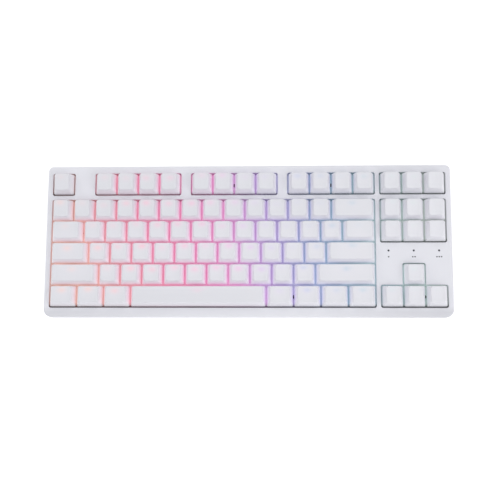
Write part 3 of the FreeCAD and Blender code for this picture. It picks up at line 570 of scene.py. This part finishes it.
# ---------------------------------------------------------------- mesh helpers
def piece(name, soup, body, material, smooth=True, node=None, patch=None):
    """Mesh given in the deck frame, in millimetres, that rides on a body.

    patch is how strongly the backlight shines through at each vertex.
    """
    world = soup.all_vertices() @ DECK_ARRAY[:3, :3].T + DECK_ARRAY[:3, 3]
    mesh = bpy.data.meshes.new(name)
    mesh.from_pydata(world.tolist(), [], soup.faces)
    mesh.update()
    if patch is not None:
        mesh.attributes.new("patch", "FLOAT", "POINT").data.foreach_set("value", patch)
    made = bpy.data.objects.new(name, mesh)
    bpy.context.scene.collection.objects.link(made)
    mesh.materials.append(material)
    if smooth:
        mesh.shade_smooth()
    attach(made, body)
    if node is not None:
        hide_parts(node)
    return made


class Soup:
    """Collects vertices and faces of several closed shapes."""

    def __init__(self):
        self.vertices = []
        self.faces = []
        self.count = 0

    def add(self, vertices, faces, shift=(0, 0, 0)):
        self.vertices.append(np.asarray(vertices, float) + np.asarray(shift, float))
        self.faces.extend([tuple(i + self.count for i in face) for face in faces])
        self.count += len(vertices)

    def all_vertices(self):
        return np.concatenate(self.vertices)


def ring_faces(count, rings):
    """Quads between successive rings of equal count, and a cap on the first and the last."""
    faces = []
    for r in range(rings - 1):
        here, above = r * count, (r + 1) * count
        for i in range(count):
            j = (i + 1) % count
            faces.append((here + i, here + j, above + j, above + i))
    faces.append(tuple(range(count - 1, -1, -1)))
    faces.append(tuple(range((rings - 1) * count, rings * count)))
    return faces


def closed_shape(levels):
    """Closed shape through plans of equal count: (plan, height or height of each point)."""
    rings = [np.column_stack([plan, np.broadcast_to(z, len(plan))]) for plan, z in levels]
    return np.concatenate(rings), ring_faces(len(rings[0]), len(rings))


CORNER_STEPS = 5
SIDE_STEPS = 6


def rounded_ring(x0, x1, y0, y1, radius):
    """Points of a rounded rectangle, counterclockwise, the same number for every size."""
    radius = max(min(radius, (x1 - x0) / 2 - 0.01, (y1 - y0) / 2 - 0.01), 0.02)
    centres = [
        (x1 - radius, y0 + radius, -90),
        (x1 - radius, y1 - radius, 0),
        (x0 + radius, y1 - radius, 90),
        (x0 + radius, y0 + radius, 180),
    ]

    def on_corner(centre, degrees):
        turn = math.radians(centre[2] + degrees)
        return np.array(centre[:2]) + radius * np.array((math.cos(turn), math.sin(turn)))

    points = []
    for k, centre in enumerate(centres):
        for i in range(CORNER_STEPS + 1):
            points.append(on_corner(centre, 90 * i / CORNER_STEPS))
        last = points[-1]
        following = on_corner(centres[(k + 1) % 4], 0)
        for i in range(1, SIDE_STEPS):
            points.append(last + (following - last) * i / SIDE_STEPS)
    return np.array(points)


def circle(radius, count):
    turns = [2 * math.pi * i / count for i in range(count)]
    return np.array([(radius * math.cos(turn), radius * math.sin(turn)) for turn in turns])


# ---------------------------------------------------------------- keycaps
CAP_BASE = 18.1         # width of a one-unit cap at its foot
CAP_WALL = 1.5
LEAN_FRONT = 2.9        # how far each wall leans in from foot to top
LEAN_REAR = 1.0
LEAN_SIDE = 2.95
DISH_DEPTH = 0.7        # the tops are hollowed from side to side
BAR_CROWN = 0.5         # the space bar is crowned from front to rear instead
FOOT_R = 1.2            # corner radii seen from above, at the foot and at the top
TOP_R = 2.2
EDGE_R = 0.6            # rounding between walls and top
EDGE_SHARE = 0.09       # share of the wall's lean that is left for the rounded edge
EDGE_STEPS = 4
TOP_RINGS = 5
BULGE = 0.12            # the walls are slightly full


def make_cap(row_name, width):
    """Sculpted keycap: leaning walls, rounded top edge, dished top, hollow below."""
    front_h, rear_h = ROW_PROFILE[row_name]
    mean = (front_h + rear_h) / 2
    foot_w = (width * UNIT - (UNIT - CAP_BASE)) / 2
    foot_d = CAP_BASE / 2
    front = -foot_d + LEAN_FRONT * front_h / mean
    rear = foot_d - LEAN_REAR * rear_h / mean
    half = foot_w - LEAN_SIDE
    is_bar = width > 6

    def top_height(points, drop=0.0):
        """Height of the top surface above the foot over points of the plan."""
        x, y = points[:, 0], points[:, 1]
        plane = front_h + (rear_h - front_h) * (y - front) / (rear - front)
        if is_bar:
            from_middle = np.clip((2 * y - front - rear) / (rear - front), -1, 1)
            bend = BAR_CROWN * (0.5 - from_middle ** 2)
        else:
            bend = -DISH_DEPTH * (1 - np.clip(x / half, -1, 1) ** 2)
        return plane + bend - drop

    def outline(share, inset, radius):
        """Plan of the cap at a share of its height, moved in by an inset."""
        return rounded_ring(
            -foot_w + LEAN_SIDE * share + inset,
            foot_w - LEAN_SIDE * share - inset,
            -foot_d + LEAN_FRONT * share + inset,
            foot_d - LEAN_REAR * share - inset,
            radius,
        )

    def toward_middle(plan, share):
        centre = plan.mean(0)
        return centre + (plan - centre) * share

    levels = []
    # The hollow: its roof from the middle out, then down its walls.
    roof_plan = outline(1, CAP_WALL, 0.8)
    for share in (0.15, 0.6):
        plan = toward_middle(roof_plan, share)
        roof = top_height(plan, CAP_WALL).min()
        levels.append((plan, roof))
    for share in (0.97, 0.85, 0.5, 0.1):
        plan = outline(share, CAP_WALL, 0.8 + share * 0.4)
        levels.append((plan, roof * min(share / 0.93, 1)))
    # The foot, with its edges broken.
    levels.append((outline(0, CAP_WALL - 0.15, 1.0), 0.1))
    levels.append((outline(0, CAP_WALL - 0.3, 1.0), 0))
    levels.append((outline(0, 0.15, 1.1), 0))
    levels.append((outline(0, 0, FOOT_R), 0.15))
    # The walls.
    edge_height = top_height(outline(1, 0, TOP_R))
    for share in (0.12, 0.35, 0.62):
        plan = outline(share, -BULGE * math.sin(math.pi * share), FOOT_R + 1.0 * share)
        levels.append((plan, edge_height * share))
    # Over the rounded edge, then in to the middle of the top.
    for step in range(EDGE_STEPS + 1):
        turn = math.pi / 2 * step / EDGE_STEPS
        inset = 0.8 * EDGE_R * (1 - math.cos(turn))
        fall = EDGE_R * (1 - math.sin(turn))
        plan = outline(1 - EDGE_SHARE * (1 - step / EDGE_STEPS), inset, TOP_R - 0.1)
        levels.append((plan, top_height(plan, fall)))
    edge = plan
    for i in range(1, TOP_RINGS + 1):
        plan = toward_middle(edge, 1 - i / (TOP_RINGS + 0.35))
        levels.append((plan, top_height(plan)))
    return closed_shape([(plan, CAP_FOOT + height) for plan, height in levels])


def light_patch(vertices, chance):
    """Soft patch towards the rear of a cap's top, where the LED below shines through."""
    strength = chance.uniform(0.3, 1.0)
    x = vertices[:, 0] - chance.uniform(-1.5, 1.5)
    y = vertices[:, 1] - chance.uniform(3.5, 6.0)
    on_top = vertices[:, 2] > CAP_FOOT + 8.0
    return strength * np.exp(-((x / 4.2) ** 2 + (y / 2.8) ** 2)) * on_top


# ---------------------------------------------------------------- posts, stems and sliders
CROSS_LONG = 2.0        # half length and half thickness of the arms of a stem's cross
CROSS_THIN = 0.6
CROSS_PLAY = 0.04
CROSS_TOP = 10.2
POST_R = 2.75
POST_FOOT = CAP_FOOT + 0.4
POST_HOLE = 4.2         # depth of the hole in a post
POST_SUNK = 1.6         # how far a post's head is below the middle height of the cap's top
SHOULDER_TOP = CAP_FOOT + 0.2
LEG_X = 1.38            # distance of a slider's legs from its middle


def make_cross(z0, z1):
    """Upright bar with the outline of a plus sign, a little thinner at its head."""
    far, near = CROSS_LONG, CROSS_THIN
    arm = np.array([(near, -far), (near, -near), (far, -near)])
    quarter_turn = np.array([(0, 1), (-1, 0)])
    plan = [arm]
    for _ in range(3):
        plan.append(plan[-1] @ quarter_turn)
    plan = np.concatenate(plan)
    return closed_shape([(plan, z0), (plan * 0.96, z1)])


def make_post(top):
    """Post under a cap, with the cross-shaped hole for the stem."""
    outer = circle(POST_R, 24)
    hole = []
    for x, y in outer:
        widest, narrowest = max(abs(x), abs(y)), min(abs(x), abs(y))
        scale = widest / (CROSS_LONG + CROSS_PLAY)
        if narrowest / scale > CROSS_THIN + CROSS_PLAY:
            scale = narrowest / (CROSS_THIN + CROSS_PLAY)
        hole.append((x / scale, y / scale))
    return closed_shape(
        [(hole, POST_FOOT + POST_HOLE), (hole, POST_FOOT), (outer, POST_FOOT), (outer, top)]
    )


def make_block(levels, radius):
    """Closed shape through rounded rectangles: (half width, half depth, height)."""
    return closed_shape([(rounded_ring(-w, w, -d, d, radius), z) for w, d, z in levels])


def make_round_bar(radius, z0, z1):
    levels = [(radius - 0.1, z0), (radius, z0 + 0.1), (radius, z1 - 0.1), (radius - 0.1, z1)]
    return closed_shape([(circle(r, 20), z) for r, z in levels])


def make_shoulder(foot=2.6, recess_top=5.4, recess_r=2.45):
    """Block of a switch stem, hollow below for the spring."""
    plan = rounded_ring(-3.55, 3.55, -3.0, 3.0, 0.35)
    edge = rounded_ring(-3.4, 3.4, -2.85, 2.85, 0.3)
    recess = recess_r * plan / np.linalg.norm(plan, axis=1)[:, None]
    return closed_shape(
        [
            (recess, recess_top),
            (recess, foot + 0.1),
            (recess * 1.03, foot),
            (edge, foot),
            (plan, foot + 0.2),
            (plan, SHOULDER_TOP - 0.2),
            (edge, SHOULDER_TOP),
        ]
    )


def add_stem(soup, at):
    soup.add(*make_shoulder(), at)
    soup.add(*make_round_bar(0.9, -3.0, 5.6), at)
    soup.add(*make_cross(SHOULDER_TOP - 0.3, CROSS_TOP), at)


def add_slider(soup, at):
    """Slider of a stabiliser: a block on two legs."""
    head = [(1.7, 2.5, 1.8), (1.8, 2.6, 2.0), (1.8, 2.6, CAP_FOOT), (1.7, 2.5, SHOULDER_TOP)]
    leg = [(0.38, 2.5, -0.6), (0.42, 2.6, -0.4), (0.42, 2.6, 1.9)]
    soup.add(*make_block(head, 0.35), at)
    for side in (-1, 1):
        soup.add(*make_block(leg, 0.15), (at[0] + side * LEG_X, at[1], at[2]))
    soup.add(*make_cross(CAP_FOOT, CROSS_TOP), at)


# ---------------------------------------------------------------- springs
SPRING_FOOT = -3.25
SPRING_HEAD = 4.85
SPRING_TURNS = 9
SPRING_WIRE_R = 0.15
SPRING_R = 2.05
TURN_STEPS = 14
WIRE_SIDES = 6


def make_spring():
    """Round wire wound into a coil with flat end turns."""
    closed = 2 * SPRING_WIRE_R
    turns_at = (0, 1, SPRING_TURNS - 1, SPRING_TURNS)
    height_at = (SPRING_FOOT, SPRING_FOOT + closed, SPRING_HEAD - closed, SPRING_HEAD)
    sections = SPRING_TURNS * TURN_STEPS + 1
    vertices = []
    for i in range(sections):
        turn = 2 * math.pi * i / TURN_STEPS
        z = np.interp(i / TURN_STEPS, turns_at, height_at)
        for k in range(WIRE_SIDES):
            roll = -2 * math.pi * k / WIRE_SIDES
            out = SPRING_R + SPRING_WIRE_R * math.cos(roll)
            rise = SPRING_WIRE_R * math.sin(roll)
            vertices.append((out * math.cos(turn), out * math.sin(turn), z + rise))
    return np.array(vertices), ring_faces(WIRE_SIDES, sections)


# ---------------------------------------------------------------- keys
def add_supports(node, row_name, at, shells, stems, patches):
    """Posts under one cap, the switch stem below it, and the sliders of a wide key.

    No light shines through the posts, so their share of patches is zero.
    """
    post = make_post(CAP_FOOT + sum(ROW_PROFILE[row_name]) / 2 - POST_SUNK)
    offsets = [0.0]
    if node in STABILIZED:
        offsets += [-STABILIZED[node], STABILIZED[node]]
    for offset in offsets:
        spot = (at[0] + offset, at[1], at[2])
        shells.add(*post, spot)
        patches.append(np.zeros(len(post[0])))
        if offset:
            add_slider(stems, spot)
        else:
            add_stem(stems, spot)


def make_keys():
    """Caps, stems and springs of each key node. The springs stay behind on the case, each with a mesh of its own.
    """
    cap_plastic = keycap_material()
    stem_plastic = simple_material("stem_plastic", (0.55, 0.1, 0.12), (0.62, 0.12, 0.14), (0.3, 0.42))
    spring_steel = simple_material(
        "spring_steel", (0.55, 0.55, 0.56), (0.7, 0.7, 0.72), (0.18, 0.3), Metallic=1.0
    )
    chance = random.Random(7)
    spring = make_spring()
    caps = {}
    for node, run in KEYS.items():
        shells, stems, coils = Soup(), Soup(), Soup()
        patches = []
        for row_name, start, width in run:
            at = (column(start + width / 2), ROW_Y[row_name], 0)
            if (row_name, width) not in caps:
                caps[row_name, width] = make_cap(row_name, width)
            cap = caps[row_name, width]
            shells.add(*cap, at)
            patches.append(light_patch(cap[0], chance))
            add_supports(node, row_name, at, shells, stems, patches)
            coils.add(*spring, at)
        piece(
            node + "_caps", shells, node, cap_plastic,
            node=node, patch=np.concatenate(patches),
        )
        piece(
            node + "_stems", stems, node, stem_plastic,
            smooth=False, node=node,
        )
        coil = piece(
            node + "_springs", coils, "case", spring_steel,
            node="switch_springs",
        )
        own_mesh(coil)


# ---------------------------------------------------------------- finish on the CAD nodes
def dress_frame():
    """Finish of every CAD node that no piece replaces."""
    plastic = case_material()
    steel = simple_material(
        "wire_steel", (0.5, 0.5, 0.52), (0.68, 0.68, 0.7), (0.2, 0.32), Metallic=1.0
    )
    black = simple_material(
        "screw_black", (0.02, 0.02, 0.022), (0.04, 0.04, 0.045), (0.3, 0.45), 200, Metallic=0.6
    )
    rubber = simple_material(
        "rubber", (0.035, 0.035, 0.037), (0.05, 0.05, 0.053), (0.7, 0.85), 120, 0.3
    )
    clear = simple_material(
        "clear_housing", (0.8, 0.82, 0.85), (0.9, 0.92, 0.94), (0.1, 0.2), 80, 0.05,
        Transmission_Weight=0.75, IOR=1.58,
    )
    mask = simple_material("board_mask", (0.01, 0.03, 0.02), (0.02, 0.05, 0.03), (0.3, 0.4), 90)
    epoxy = simple_material(
        "chip_epoxy", (0.02, 0.02, 0.02), (0.035, 0.035, 0.035), (0.4, 0.5), 150
    )
    foam = simple_material("foam", (0.06, 0.06, 0.065), (0.12, 0.12, 0.13), (0.9, 1.0), 400, 0.8)
    lens = simple_material(
        "lens", (0.02, 0.02, 0.03), (0.05, 0.05, 0.07), (0.08, 0.15), 90, 0.05
    )
    nylon = simple_material("housing", (0.66, 0.66, 0.68), (0.75, 0.75, 0.77), (0.35, 0.5))
    brass = simple_material(
        "brass", (0.6, 0.42, 0.18), (0.75, 0.55, 0.25), (0.2, 0.35), Metallic=1.0
    )
    led = simple_material("led", (0.8, 0.78, 0.6), (0.9, 0.88, 0.75), (0.15, 0.25))
    finishes = {
        "top_case": plastic,
        "bottom_case": plastic,
        "left_foot": plastic,
        "right_foot": plastic,
        "left_foot_grip": rubber,
        "right_foot_grip": rubber,
        "rubber_pads": rubber,
        "switch_plate": plate_material(),
        "circuit_board": mask,
        "board_chips": epoxy,
        "sound_foam": foam,
        "case_screws": black,
        "plate_screws": black,
        "usb_socket": steel,
        "indicator_lenses": lens,
        "switch_lower_housings": nylon,
        "switch_upper_housings": clear,
        "stabilizer_housings": clear,
        "switch_contacts": brass,
        "key_leds": led,
        "backspace_wire": steel,
        "enter_wire": steel,
        "left_shift_wire": steel,
        "right_shift_wire": steel,
        "space_bar_wire": steel,
    }
    for node, material in finishes.items():
        mesh = frame["nodes"][node].data
        mesh.materials.clear()
        mesh.materials.append(material)


make_camera()
make_studio()
make_keys()
dress_frame()
